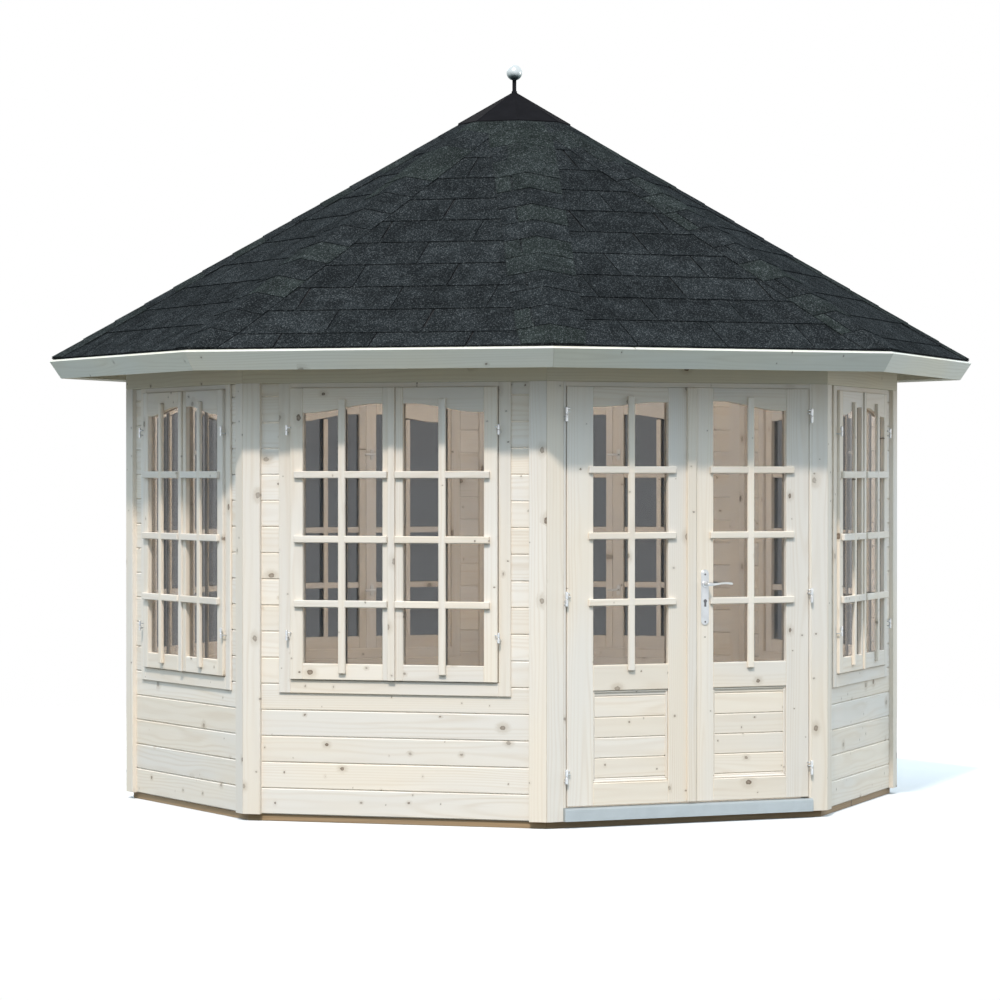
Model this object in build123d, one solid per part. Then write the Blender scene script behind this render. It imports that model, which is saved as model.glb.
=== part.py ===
from build123d import *
import os
from math import cos, radians, sin, tan

os.makedirs("parts", exist_ok=True)

# Garden gazebo, an eight-sided timber summerhouse. Sizes are in mm.
# The ground is at height 0, the eight walls stand round the Z axis and the doors face -Y.
# A wall is drawn as if it were the door wall: u runs to the right seen from outside,
# a is the distance out from the centre, and wall n is turned 45 * n degrees to its place.

# fits
SEAT = 0.3            # between a piece and the seat that carries it
MITRE = 0.3           # half of the joint between two mitred pieces
DOOR_GAP = 5.0        # round a door leaf
PIN_PLAY = 0.1        # round a hinge pin or a handle neck, on the radius

# plan
HALF = 22.5           # half of the angle of one side, degrees
WALL_FACE = 1664.0    # outer face of the wall boards
WALL_THICK = 34.0
WALL_BACK = WALL_FACE - WALL_THICK
POST_FACE = WALL_FACE + 20.0
POST_BACK = WALL_BACK - 20.0
POST_FACET = 81.0     # width of each of the two faces that a post shows
POST_GROOVE = 12.0    # groove that takes the ends of the wall boards
POST_EDGE = POST_FACE * tan(radians(HALF)) - POST_FACET
TONGUE = POST_GROOVE - 2.0

# heights
BASE_H = 30.0         # foundation beams
FLOOR_UNDER = 60.0
FLOOR_THICK = 24.0
THRESHOLD_TOP = BASE_H + 57.0
WALL_H = 1881.0
POST_TOP = BASE_H + WALL_H

# roof
PITCH = 32.0
SLOPE = tan(radians(PITCH))
ROOF_AT_WALL = POST_TOP + 348.3   # top of the roof boards over the face of a wall
EAVE_A = 2013.4       # outer top edge of the fascia
EAVE_Z = ROOF_AT_WALL - (EAVE_A - WALL_FACE) * SLOPE
PEAK = ROOF_AT_WALL + WALL_FACE * SLOPE
DECK_THICK = 18.0
PLUMB_DECK = DECK_THICK / cos(radians(PITCH))
FASCIA_THICK = 18.0
FASCIA_H = 95.0
FELT_THICK = 5.0
FELT_BACK = 16.0      # the covering stops this far behind the fascia's edge
RAFTER_W = 45.0
RAFTER_DROP = 95.0    # depth of a rafter, measured plumb
RAFTER_END = EAVE_A - 66.4
PLATE_TOP = ROOF_AT_WALL - PLUMB_DECK - RAFTER_DROP - 3.0
HUB_A = 60.0
HUB_H = 260.0
TOP_HOLE = 14.0
CAP_A = 248.0
CAP_THICK = 5.0
ROD_R = 9.5
BALL_R = 37.0
BALL_Z = PEAK + 107.0

# windows
CASING_U = 532.0      # outer edge of the casing
CASING_BOTTOM = BASE_H + 532.0
CASING_FACE = WALL_FACE + 10.0
CASING_LAP = 20.0     # how far the casing laps over the wall boards
FRAME_BACK = WALL_BACK + 2.0
CASING_W = 54.0       # width of the casing up to the sashes' gap
SASH_PLAY = 3.0       # round a pair of sashes in its frame
SASH_U = CASING_U - CASING_W - SASH_PLAY
SASH_BOTTOM = CASING_BOTTOM + 60.0
SASH_TOP = POST_TOP - 24.0
SASH_FACE = WALL_FACE + 23.0
SASH_THICK = 40.0
SASH_BACK = SASH_FACE - SASH_THICK
STOP_LAP = 9.0        # the frame's stop behind the sash
PANE_OUT = SASH_U - 60.0
PANE_IN = 47.0
PANE_BOTTOM = SASH_BOTTOM + 70.0
ARCH_HIGH = SASH_TOP - 68.0
ARCH_LOW = ARCH_HIGH - 39.0
ARCH_FROM = 0.31      # the neck of the arch starts at this share of the pane's width
ARCH_TO = 0.655       # and ends at this one, counted from the outer stile
MEETING_U = 11.0      # joint between the two sashes
STRIP_W = 31.0
STRIP_PROUD = 8.0
GLASS_THICK = 4.0
GLASS_A = WALL_FACE + 3.0
GLASS_EDGE = 9.0      # how far a pane reaches into the wood

# doors
JAMB_U = POST_EDGE - 11.5
LEAF_U = JAMB_U - DOOR_GAP
LEAF_BOTTOM = THRESHOLD_TOP + DOOR_GAP + 1.0
LEAF_TOP = POST_TOP - 21.0
LEAF_FACE = SASH_FACE
LEAF_BACK = SASH_BACK
DOOR_SPLIT_LEFT = 27.0
DOOR_SPLIT_RIGHT = 33.0
SPLIT_BEVEL = 2.5
DOOR_STRIP_W = 44.0
DOOR_STRIP_PROUD = 13.0
LEFT_PANE = (126.0 - LEAF_U, -107.0)
RIGHT_PANE = (LEAF_U - 116.0, 117.0)
DOOR_PANE_BOTTOM = LEAF_BOTTOM + 602.0
DOOR_ARCH_HIGH = LEAF_TOP - 58.0
DOOR_ARCH_LOW = DOOR_ARCH_HIGH - 40.0
PANEL_BOTTOM = LEAF_BOTTOM + 96.0
PANEL_TOP = DOOR_PANE_BOTTOM - 110.0
PANEL_RECESS = 11.0

# hinges and handle
HINGE_A = WALL_FACE + 34.0
DOOR_HINGE_U = JAMB_U + 4.0
HINGE_LOW = 129.0     # lowest hinge, up from the foot of the leaf
HINGE_MID = 888.0
HINGE_TOP = 119.0     # top hinge, down from the top of the leaf
DOOR_HINGE_Z = (LEAF_BOTTOM + HINGE_LOW, LEAF_BOTTOM + HINGE_MID, LEAF_TOP - HINGE_TOP)
DOOR_HINGE_H = 63.0
DOOR_FLAP_W = 40.0    # flap on the leaf, in from the leaf's edge
KNUCKLE_ARM = 3.0     # how far over the leaf's edge the knuckle's arm reaches
DOOR_HINGE_R = 7.5
HINGE_PIN_R = 4.0
SASH_HINGE_U = SASH_U + 11.0
SASH_HINGE_Z = (SASH_BOTTOM + 192.0, SASH_TOP - 181.0)
SASH_HINGE_H = 45.0
SASH_HINGE_R = 7.0
SASH_FLAP_W = 27.0    # flap on the sash, in from the sash's edge
CASING_FLAP_W = 14.0
FLAP_THICK = 3.0
LEVER_U = 73.0
LEVER_UP = 944.0
LEVER_Z = LEAF_BOTTOM + LEVER_UP
PLATE_W = 42.0
PLATE_H = 242.0
PLATE_UP = 64.0       # top of the plate over the lever's axis
PLATE_TOP_Z = LEVER_Z + PLATE_UP
PLATE_BOTTOM = PLATE_TOP_Z - PLATE_H
PLATE_THICK = 4.0
NECK_R = 9.0
SPINDLE_R = 5.0
LEVER_L = 120.0
LEVER_OUT = 47.0      # face of the lever's arm from the leaf
LEVER_THICK = 12.0
CATCH_Z = (SASH_BOTTOM + 303.0, SASH_TOP - 272.0)

DOWN = (cos(radians(PITCH)), -sin(radians(PITCH)))
UP = (sin(radians(PITCH)), cos(radians(PITCH)))
WALLS = {
    "front_right": 1,
    "right": 2,
    "back_right": 3,
    "back": 4,
    "back_left": 5,
    "left": 6,
    "front_left": 7,
}


def save(name, *solids):
    shape = solids[0] if len(solids) == 1 else Compound(children=list(solids))
    export_step(shape, f"parts/{name}.step")


def turned(solid, n):
    return Rot(0, 0, 45 * n) * solid


def all_round(solid):
    return [turned(solid, n) for n in range(8)]


def block(u0, u1, a0, a1, z0, z1):
    mid = ((u0 + u1) / 2, -(a0 + a1) / 2, (z0 + z1) / 2)
    return Pos(*mid) * Box(abs(u1 - u0), abs(a1 - a0), abs(z1 - z0))


def plan_prism(points, z0, z1):
    """A solid from plan points (u, a)."""
    face = make_face(Polyline(*[(u, -a, z0) for u, a in points], close=True))
    return extrude(face, amount=z1 - z0, dir=(0, 0, 1))


def octagon(apothem, z0, z1, spin=0.0):
    """An eight-sided prism with one side square to the doors."""
    radius = apothem / cos(radians(HALF))
    face = Rot(0, 0, HALF + spin) * RegularPolygon(radius, 8)
    return Pos(0, 0, z0) * extrude(face, amount=z1 - z0, dir=(0, 0, 1))


def sector(profile, gap):
    """One of eight like pieces: a section of (a, z) points, cut at both hips."""
    far = EAVE_A * 1.3
    face = make_face(Polyline(*[(0, -a, z) for a, z in profile], close=True))
    bar = extrude(face, amount=EAVE_A * 0.55, dir=(1, 0, 0), both=True)
    half = far * tan(radians(HALF)) - gap / cos(radians(HALF))
    wedge = [(0, gap / sin(radians(HALF))), (half, far), (-half, far)]
    return bar & plan_prism(wedge, -10, PEAK * 1.2)


def deck_top(a):
    return EAVE_Z + (EAVE_A - a) * SLOPE


def deck_under(a):
    return deck_top(a) - PLUMB_DECK


def arched(u_out, u_in, z_bottom, z_low, z_high, a0, a1):
    """The pane opening: level at the outer stile, then a swan neck up to the meeting stile."""
    u_from = u_out + (u_in - u_out) * ARCH_FROM
    u_to = u_out + (u_in - u_out) * ARCH_TO
    bend = (u_to - u_from) * 0.5
    y = -a0
    neck = Bezier(
        (u_from, y, z_low),
        (u_from + bend, y, z_low),
        (u_to - bend, y, z_high),
        (u_to, y, z_high),
    )
    rest = Polyline(
        (u_to, y, z_high),
        (u_in, y, z_high),
        (u_in, y, z_bottom),
        (u_out, y, z_bottom),
        (u_out, y, z_low),
        (u_from, y, z_low),
    )
    face = make_face([neck, rest])
    return extrude(face, amount=a1 - a0, dir=(0, -1, 0))


def pane_box(u_out, u_in, z_bottom, z_high, play):
    """The pane itself, or the groove for it when play is added."""
    u0, u1 = sorted((u_out, u_in))
    edge = GLASS_EDGE + play
    half = GLASS_THICK / 2 + play
    return block(
        u0 - edge, u1 + edge, GLASS_A - half, GLASS_A + half,
        z_bottom - edge, z_high + edge,
    )


# foundation, floor and threshold
beam_out = WALL_FACE - 12.0
beam_in = beam_out - 60.0
beam = sector([(beam_in, 0), (beam_out, 0), (beam_out, BASE_H), (beam_in, BASE_H)], MITRE)
bearers = []
for i in range(-2, 3):
    x = i * WALL_FACE / 3
    reach = beam_in - SEAT
    side = reach * tan(radians(HALF))
    length = 2 * (reach if abs(x) + 25 < side else reach + side - abs(x) - 25)
    bearers.append(Pos(x, 0, FLOOR_UNDER / 2) * Box(50, length, FLOOR_UNDER))
save("foundation_beams", *all_round(beam), *bearers)

floor = octagon(WALL_BACK - SEAT, FLOOR_UNDER, FLOOR_UNDER + FLOOR_THICK)


def across_hip(p):
    """The mirror image of a plan point over the hip at the right of the door wall."""
    d = (sin(radians(HALF)), cos(radians(HALF)))
    k = 2 * (p[0] * d[0] + p[1] * d[1])
    return (k * d[0] - p[0], k * d[1] - p[1])


def post_section(grow, groove):
    edge = POST_EDGE - grow
    back = POST_BACK - grow
    side = [(POST_FACE * tan(radians(HALF)), POST_FACE), (edge, POST_FACE)]
    if groove:
        deep = POST_EDGE + POST_GROOVE
        front = WALL_FACE + SEAT
        rear = WALL_BACK - SEAT
        side += [(edge, front), (deep, front), (deep, rear), (edge, rear)]
    side += [(edge, back), (back * tan(radians(HALF)), back)]
    return side + [across_hip(p) for p in reversed(side[1:-1])]


floor_cut = plan_prism(post_section(SEAT, False), 0, THRESHOLD_TOP * 2)
for cut in all_round(floor_cut):
    floor -= cut
save("floor_boards", floor)

sill_front = POST_FACE + 16.0
sill = block(
    -(POST_EDGE - SEAT), POST_EDGE - SEAT, WALL_BACK, sill_front, BASE_H, THRESHOLD_TOP,
)
sill_edge = sill.edges().filter_by(Axis.X).group_by(Axis.Z)[-1].sort_by(Axis.Y)[0]
save("door_threshold", fillet(sill_edge, 12))

# posts in the eight corners, grooved for the wall boards
post = plan_prism(post_section(0, True), BASE_H, POST_TOP)
save("corner_posts", *all_round(post))

# walls with a window: boards up to the sill and up both sides
wall_u = POST_EDGE + TONGUE
hole_u = CASING_U - CASING_LAP
hole_bottom = CASING_BOTTOM + CASING_LAP
wall = block(-wall_u, wall_u, WALL_BACK, WALL_FACE, BASE_H, POST_TOP)
wall -= block(-hole_u, hole_u, WALL_BACK - 10, WALL_FACE + 10, hole_bottom, POST_TOP + 10)

# window frame: box, lapping casing and the stop that the sashes shut against
box_u = hole_u - SEAT
box_bottom = hole_bottom + SEAT
frame_top = POST_TOP - SEAT
gap_u = SASH_U + SASH_PLAY
gap_bottom = SASH_BOTTOM - SASH_PLAY
gap_top = SASH_TOP + SASH_PLAY
frame = block(-box_u, box_u, FRAME_BACK, CASING_FACE, box_bottom, frame_top)
frame += block(-CASING_U, CASING_U, WALL_FACE + SEAT, CASING_FACE, CASING_BOTTOM, frame_top)
frame -= block(
    -gap_u, gap_u, SASH_BACK - SEAT, CASING_FACE + 10, gap_bottom, gap_top,
)
frame -= block(
    -gap_u + STOP_LAP + SASH_PLAY, gap_u - STOP_LAP - SASH_PLAY, FRAME_BACK - 10, SASH_FACE,
    gap_bottom + STOP_LAP + SASH_PLAY, gap_top - STOP_LAP - SASH_PLAY,
)


def sash(u_out, u_in, pane_out, pane_in):
    """One sash with its arched pane opening and the groove for the glass."""
    u0, u1 = sorted((u_out, u_in))
    wood = block(u0, u1, SASH_BACK, SASH_FACE, SASH_BOTTOM, SASH_TOP)
    wood -= arched(
        pane_out, pane_in, PANE_BOTTOM, ARCH_LOW, ARCH_HIGH, SASH_BACK - 5, SASH_FACE + 5,
    )
    return wood - pane_box(pane_out, pane_in, PANE_BOTTOM, ARCH_HIGH, SEAT)


sash_left = sash(-SASH_U, MEETING_U - 0.4, -PANE_OUT, -PANE_IN)
sash_left += block(
    MEETING_U - 0.4 - STRIP_W, MEETING_U - 0.4, SASH_FACE, SASH_FACE + STRIP_PROUD,
    SASH_BOTTOM, SASH_TOP,
)
sash_right = sash(SASH_U, MEETING_U + 0.4, PANE_OUT, PANE_IN)
panes = [
    pane_box(-PANE_OUT, -PANE_IN, PANE_BOTTOM, ARCH_HIGH, 0),
    pane_box(PANE_OUT, PANE_IN, PANE_BOTTOM, ARCH_HIGH, 0),
]


def barrel(u, z0, z1, r):
    return Pos(u, -HINGE_A, (z0 + z1) / 2) * Cylinder(r, z1 - z0)


def sash_hinge(side, z):
    """A barrel hinge with one flap on the sash and a foot on the casing."""
    z0 = z - SASH_HINGE_H / 2
    z1 = z + SASH_HINGE_H / 2
    u = side * SASH_HINGE_U
    foot = u + side * CASING_FLAP_W
    flap = side * (SASH_U - SASH_FLAP_W)
    piece = barrel(u, z0, z1, SASH_HINGE_R)
    piece += block(u, foot, CASING_FACE + SEAT, CASING_FACE + SEAT + FLAP_THICK, z0, z)
    piece += block(u - 3, u + 3, CASING_FACE + SEAT, HINGE_A, z0, z)
    piece += block(u, flap, SASH_FACE + SEAT, SASH_FACE + SEAT + FLAP_THICK, z + 1, z1)
    return piece + block(u - 3, u + 3, SASH_FACE + SEAT, HINGE_A, z + 1, z1)


def catch(z):
    """The inside handle on the meeting stile: a plate and a short level grip."""
    back = SASH_BACK - SEAT
    piece = block(-30, -12, back - 8, back, z - 20, z + 20)
    piece += block(-26, -16, back - 30, back - 8, z - 5, z + 5)
    return piece + block(-26, 30, back - 38, back - 28, z - 6, z + 6)


hinge_set = [sash_hinge(side, z) for side in (-1, 1) for z in SASH_HINGE_Z]
catch_set = [catch(z) for z in CATCH_Z]
all_panes = []
all_hinges = []
all_catches = []
for place, n in WALLS.items():
    save(f"wall_{place}", turned(wall, n))
    save(f"window_frame_{place}", turned(frame, n))
    save(f"window_sashes_{place}", turned(sash_left, n), turned(sash_right, n))
    all_panes += [turned(p, n) for p in panes]
    all_hinges += [turned(h, n) for h in hinge_set]
    all_catches += [turned(c, n) for c in catch_set]
save("window_glass", *all_panes)
save("window_hinges", *all_hinges)
save("window_handles", *all_catches)

# door frame: jambs that fill the bay between two posts, head and stops
jamb_foot = THRESHOLD_TOP + SEAT
edge_u = POST_EDGE - SEAT
stop_a = LEAF_BACK - DOOR_GAP
head_bottom = LEAF_TOP + DOOR_GAP
door_frame = block(-edge_u, edge_u, FRAME_BACK, POST_FACE, jamb_foot, frame_top)
door_frame -= block(-JAMB_U, JAMB_U, FRAME_BACK - 10, POST_FACE + 10, 0, head_bottom)
for side in (-1, 1):
    door_frame += block(
        side * (JAMB_U - 20), side * JAMB_U, FRAME_BACK, stop_a, jamb_foot, head_bottom,
    )
    door_frame += block(
        side * JAMB_U, side * (POST_EDGE + TONGUE), FRAME_BACK, WALL_FACE, jamb_foot, frame_top,
    )
door_frame += block(-JAMB_U, JAMB_U, FRAME_BACK, stop_a, head_bottom - 20, head_bottom)
save("door_frame", door_frame)


def door_leaf(u_hinge, u_free, pane):
    """A leaf with an arched light above and a sunk panel below."""
    u0, u1 = sorted((u_hinge, u_free))
    p0, p1 = sorted(pane)
    wood = block(u0, u1, LEAF_BACK, LEAF_FACE, LEAF_BOTTOM, LEAF_TOP)
    wood -= arched(
        pane[0], pane[1], DOOR_PANE_BOTTOM, DOOR_ARCH_LOW, DOOR_ARCH_HIGH,
        LEAF_BACK - 5, LEAF_FACE + 5,
    )
    wood -= pane_box(pane[0], pane[1], DOOR_PANE_BOTTOM, DOOR_ARCH_HIGH, SEAT)
    wood -= block(p0, p1, LEAF_FACE - PANEL_RECESS, LEAF_FACE + 5, PANEL_BOTTOM, PANEL_TOP)
    wood -= block(p0, p1, LEAF_BACK - 5, LEAF_BACK + PANEL_RECESS, PANEL_BOTTOM, PANEL_TOP)
    way = 1 if u_free > u_hinge else -1
    bevel = [
        (u_free, LEAF_FACE), (u_free + way * 9, LEAF_FACE),
        (u_free + way * 9, LEAF_BACK), (u_free - way * SPLIT_BEVEL, LEAF_BACK),
    ]
    return wood - plan_prism(bevel, 0, LEAF_TOP * 1.1)


leaf_left = door_leaf(-LEAF_U, DOOR_SPLIT_LEFT, LEFT_PANE)
leaf_left += block(
    DOOR_SPLIT_LEFT - DOOR_STRIP_W, DOOR_SPLIT_LEFT, LEAF_FACE, LEAF_FACE + DOOR_STRIP_PROUD,
    LEAF_BOTTOM, LEAF_TOP,
)
leaf_right = door_leaf(LEAF_U, DOOR_SPLIT_RIGHT, RIGHT_PANE)


def across_leaf(radius, a0, a1):
    """A round bar square to the leaf, on the axis of the lever."""
    mid = Pos(LEVER_U, -(a0 + a1) / 2, LEVER_Z)
    return mid * Rot(90, 0, 0) * Cylinder(radius, a1 - a0)


leaf_right -= across_leaf(NECK_R + DOOR_GAP, LEAF_BACK - 5, LEAF_FACE + 5)
save("door_leaf_left", leaf_left)
save("door_leaf_right", leaf_right)
save("door_glass_left", pane_box(*LEFT_PANE, DOOR_PANE_BOTTOM, DOOR_ARCH_HIGH, 0))
save("door_glass_right", pane_box(*RIGHT_PANE, DOOR_PANE_BOTTOM, DOOR_ARCH_HIGH, 0))


def hinge_on_frame(side, z):
    """Lower knuckle with its pin, on the face of the jamb."""
    z0 = z - DOOR_HINGE_H / 2
    u = side * DOOR_HINGE_U
    foot = POST_FACE + SEAT
    piece = barrel(u, z0, z - 0.25, DOOR_HINGE_R)
    piece += barrel(u, z - 1, z + DOOR_HINGE_H / 2 - 1, HINGE_PIN_R)
    piece += block(side * (JAMB_U + 0.5), side * edge_u, foot, foot + FLAP_THICK, z0, z - 0.25)
    return piece + block(u - 3.5, u + 3.5, foot, HINGE_A, z0, z - 0.25)


def hinge_on_leaf(side, z):
    """Upper knuckle, bored for the pin, with a flap on the face of the leaf."""
    z1 = z + DOOR_HINGE_H / 2
    z0 = z + 0.25
    u = side * DOOR_HINGE_U
    face = LEAF_FACE + SEAT
    inner = side * (JAMB_U - 0.5)
    piece = barrel(u, z0, z1, DOOR_HINGE_R)
    arm = side * (LEAF_U - KNUCKLE_ARM)
    piece += block(side * (LEAF_U - DOOR_FLAP_W), inner, face, face + FLAP_THICK, z0, z1)
    piece += block(arm, inner, face, HINGE_A, z0, z1)
    return piece - barrel(u, z0 - 5, z1 + 5, HINGE_PIN_R + PIN_PLAY)


save("door_hinges_frame", *[hinge_on_frame(s, z) for s in (-1, 1) for z in DOOR_HINGE_Z])
save("door_hinges_left", *[hinge_on_leaf(-1, z) for z in DOOR_HINGE_Z])
save("door_hinges_right", *[hinge_on_leaf(1, z) for z in DOOR_HINGE_Z])


def handle_plate(a0, a1):
    mid = (PLATE_BOTTOM + PLATE_TOP_Z) / 2
    outline = Rot(90, 0, 0) * Rot(0, 0, 90) * SlotOverall(PLATE_TOP_Z - PLATE_BOTTOM, PLATE_W)
    plate = Pos(LEVER_U, -a0, mid) * extrude(outline, amount=a1 - a0, dir=(0, -1, 0))
    return plate - across_leaf(NECK_R + PIN_PLAY, a0 - 5, a1 + 5)


def lever_arm(a0, a1):
    """The grip: a flat bar that narrows to a round end."""
    big = Circle(12.0)
    small = Pos(LEVER_L - 9.0, 0) * Circle(9.0)
    outline = Rot(90, 0, 0) * make_hull(big.edges() + small.edges())
    return Pos(LEVER_U, -a0, LEVER_Z) * extrude(outline, amount=a1 - a0, dir=(0, -1, 0))


out_a = LEAF_FACE + LEVER_OUT
in_a = LEAF_BACK - LEVER_OUT
save(
    "door_handle_plates",
    handle_plate(LEAF_FACE + SEAT, LEAF_FACE + SEAT + PLATE_THICK),
    handle_plate(LEAF_BACK - SEAT - PLATE_THICK, LEAF_BACK - SEAT),
)
lever = across_leaf(SPINDLE_R, in_a, out_a)
lever += across_leaf(NECK_R, LEAF_FACE - 5, out_a - 2)
lever += across_leaf(NECK_R, in_a + 2, LEAF_BACK + 5)
lever += lever_arm(out_a - LEVER_THICK, out_a)
lever += lever_arm(in_a, in_a + LEVER_THICK)
save("door_lever", lever)

# ring beam on the posts, and boards that close the eaves between the rafters
plate = sector(
    [(WALL_BACK, POST_TOP), (POST_FACE, POST_TOP), (POST_FACE, PLATE_TOP), (WALL_BACK, PLATE_TOP)],
    MITRE,
)
close_in = WALL_BACK + 10.0
close_out = close_in + 28.0
closer = sector(
    [
        (close_in, PLATE_TOP + SEAT), (close_out, PLATE_TOP + SEAT),
        (close_out, deck_under(close_out) - SEAT), (close_in, deck_under(close_in) - SEAT),
    ],
    RAFTER_W / 2 + SEAT,
)
save("eaves_beams", *all_round(plate), *all_round(closer))

# hip rafters, backed to the two slopes that meet on them, and the hub that they lean on
roof_core = [
    (HUB_A - 10, deck_under(HUB_A - 10) - SEAT),
    (RAFTER_END, deck_under(RAFTER_END) - SEAT),
    (RAFTER_END, deck_under(RAFTER_END) - RAFTER_DROP),
    (HUB_A - 10, deck_under(HUB_A - 10) - RAFTER_DROP),
]
half_roof = sector(roof_core, 0)
two_sides = half_roof + turned(half_roof, 1)
hip_strip = Rot(0, 0, HALF) * block(
    -RAFTER_W / 2, RAFTER_W / 2, HUB_A + SEAT, EAVE_A * 1.2, PLATE_TOP * 0.7, PEAK * 1.1,
)
rafter = two_sides & hip_strip
birdsmouth = octagon(POST_FACE + SEAT, PLATE_TOP * 0.7, PLATE_TOP + SEAT)
birdsmouth -= octagon(WALL_BACK - SEAT, PLATE_TOP * 0.6, PLATE_TOP + 50)
rafter -= birdsmouth
hub_top = deck_under(HUB_A + 8) - SEAT
hub = octagon(HUB_A, hub_top - HUB_H, hub_top, spin=HALF)
save("hip_rafters", *all_round(rafter), hub)

# roof boards, covering, fascia, cap and finial
def on_slope(a, z, along, rise):
    """A point from (a, z): so far down the slope and so far off it."""
    return (a + DOWN[0] * along + UP[0] * rise, z + DOWN[1] * along + UP[1] * rise)


edge = (EAVE_A, EAVE_Z)
fascia = [
    on_slope(*edge, 0, 0),
    on_slope(*edge, -FASCIA_THICK, 0),
    on_slope(*edge, -FASCIA_THICK, -FASCIA_H),
    on_slope(*edge, 0, -FASCIA_H),
]
save("fascia_boards", *all_round(sector(fascia, MITRE)))
boards = [
    on_slope(*edge, -FASCIA_THICK - SEAT, 0),
    (TOP_HOLE, deck_top(TOP_HOLE)),
    (TOP_HOLE, deck_under(TOP_HOLE)),
    on_slope(*edge, -FASCIA_THICK - SEAT, -DECK_THICK),
]
save("roof_boards", *all_round(sector(boards, MITRE)))
plumb = 1 / cos(radians(PITCH))
felt_low = deck_top(TOP_HOLE) + SEAT * plumb
felt = [
    on_slope(*edge, -FELT_BACK, SEAT),
    on_slope(*edge, -FELT_BACK, SEAT + FELT_THICK),
    (TOP_HOLE, felt_low + FELT_THICK * plumb),
    (TOP_HOLE, felt_low),
]
save("roof_covering", *all_round(sector(felt, MITRE)))


def hood(apothem, lift):
    """A solid eight-sided pyramid whose sides lie off the roof boards by lift."""
    peak = deck_top(0) + lift * plumb
    low = deck_top(apothem) + lift * plumb
    base = Pos(0, 0, low) * (Rot(0, 0, HALF) * RegularPolygon(apothem / cos(radians(HALF)), 8))
    tip = 1.0
    tip_face = Rot(0, 0, HALF) * RegularPolygon(tip / cos(radians(HALF)), 8)
    return loft([base, Pos(0, 0, peak - tip * SLOPE) * tip_face])


cap_lift = FELT_THICK + 2 * SEAT
cap = hood(CAP_A, cap_lift + CAP_THICK)
cap -= hood(CAP_A + 40, cap_lift)
cap -= Pos(0, 0, deck_top(0)) * Cylinder(ROD_R + SEAT, 200)
save("roof_cap", cap)
ball = Pos(0, 0, BALL_Z) * Sphere(BALL_R)
rod_low = hub_top + SEAT
rod = Pos(0, 0, (rod_low + BALL_Z) / 2) * Cylinder(ROD_R, BALL_Z - rod_low)
save("finial", rod + ball)
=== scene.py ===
import bmesh
import bpy
import math
import random
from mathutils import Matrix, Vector

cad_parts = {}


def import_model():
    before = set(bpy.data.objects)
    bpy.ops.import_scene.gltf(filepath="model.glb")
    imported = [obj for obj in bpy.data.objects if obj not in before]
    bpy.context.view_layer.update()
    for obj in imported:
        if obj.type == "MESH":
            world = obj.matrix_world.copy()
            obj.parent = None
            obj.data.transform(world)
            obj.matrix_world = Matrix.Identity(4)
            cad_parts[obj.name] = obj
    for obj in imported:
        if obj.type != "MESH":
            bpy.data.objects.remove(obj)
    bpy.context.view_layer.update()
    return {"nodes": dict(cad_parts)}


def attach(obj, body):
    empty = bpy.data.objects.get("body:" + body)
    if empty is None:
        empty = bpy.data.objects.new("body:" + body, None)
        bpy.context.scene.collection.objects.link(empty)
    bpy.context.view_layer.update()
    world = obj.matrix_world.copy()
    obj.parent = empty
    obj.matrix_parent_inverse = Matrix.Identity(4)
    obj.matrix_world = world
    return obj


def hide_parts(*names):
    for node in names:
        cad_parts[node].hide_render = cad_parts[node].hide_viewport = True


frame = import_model()

# Garden gazebo. Wall n is drawn as if it faced -Y (u to the right, a outwards, z up, in metres)
# and is then turned 45 * n degrees about the Z axis. The doors are wall 0.
T = math.tan(math.pi / 8)
HIP = math.cos(math.pi / 8)
BASE = 0.030
WALL_FACE, WALL_BACK = 1.664, 1.630
FRAME_BACK = 1.632
POST_FACE, POST_BACK = 1.684, 1.610
POST_EDGE = POST_FACE * T - 0.081
POST_TOP = BASE + 1.881
CASING_FACE = 1.674
SASH_FACE, SASH_BACK = 1.687, 1.647
PITCH = math.radians(32)
SLOPE = math.tan(PITCH)
ROOF_COS = math.cos(PITCH)
ROOF_RISE = 0.3483
DECK_THICK, FASCIA_DEEP = 0.018, 0.095
EAVE_A = 2.0134
EAVE_Z = POST_TOP + ROOF_RISE - (EAVE_A - WALL_FACE) * SLOPE
WINDOWS = {
    "front_right": 1,
    "right": 2,
    "back_right": 3,
    "back": 4,
    "back_left": 5,
    "left": 6,
    "front_left": 7,
}
TURN = [(math.cos(n * math.pi / 4), math.sin(n * math.pi / 4)) for n in range(8)]


def world(n, u, a, z):
    c, s = TURN[n % 8]
    return (u * c + a * s, u * s - a * c, z)


def deck(a):
    """Height of the roof boards' upper face."""
    return EAVE_Z + (EAVE_A - a) * SLOPE


def skin(k, rings=2):
    """Faces over rings of k points each, with both ends closed."""
    last = (rings - 1) * k
    faces = [list(range(k)), list(range(last, last + k))]
    for j in range(0, last, k):
        for i in range(k):
            q = (i + 1) % k
            faces.append([j + i, j + q, j + k + q, j + k + i])
    return faces


def box_outline(u, z):
    """The corners of a rectangle, as (u, z)."""
    return [(u[0], z[0]), (u[1], z[0]), (u[1], z[1]), (u[0], z[1])]


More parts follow.
